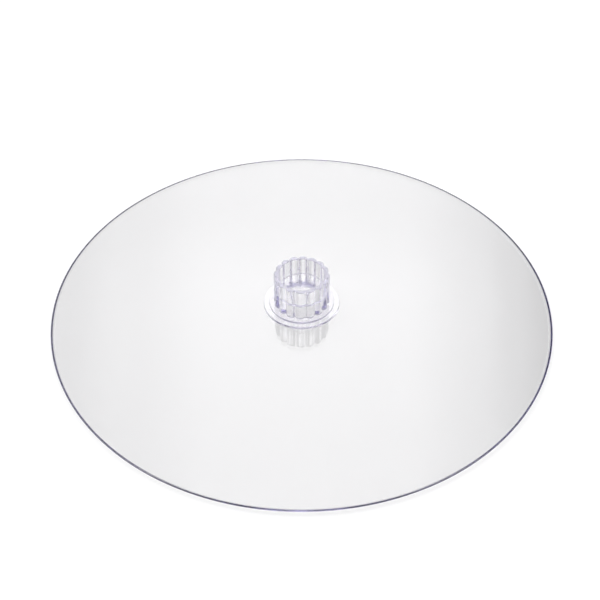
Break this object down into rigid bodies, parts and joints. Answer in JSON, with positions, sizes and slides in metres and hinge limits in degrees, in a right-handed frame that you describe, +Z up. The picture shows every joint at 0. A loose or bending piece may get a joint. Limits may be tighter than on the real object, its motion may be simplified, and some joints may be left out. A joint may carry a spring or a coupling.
{
  "type": "fluted socket plate",
  "caption": "Round flat clear plastic plate with a fluted centre socket standing on a flat ring; the socket takes the end of a round post.",
  "frame": {"origin": "centre of the plate's underside", "axes": "+Z up along the plate's axis, out of the socket's mouth; -Y is the side nearest the viewer"},
  "size_m": [0.3048, 0.3048, 0.0263],
  "materials": {
    "clear_sheet": "clear colourless sheet with a faint violet tint, polished faces and rim",
    "clear_ring": "clear colourless plastic, glossy",
    "clear_moulding": "clear moulded plastic with a faint violet tint, glossy"
  },
  "bodies": {
    "root": {"plate": "clear_sheet", "base_ring": "clear_ring", "fluted_socket": "clear_moulding"}
  },
  "joints": []
}
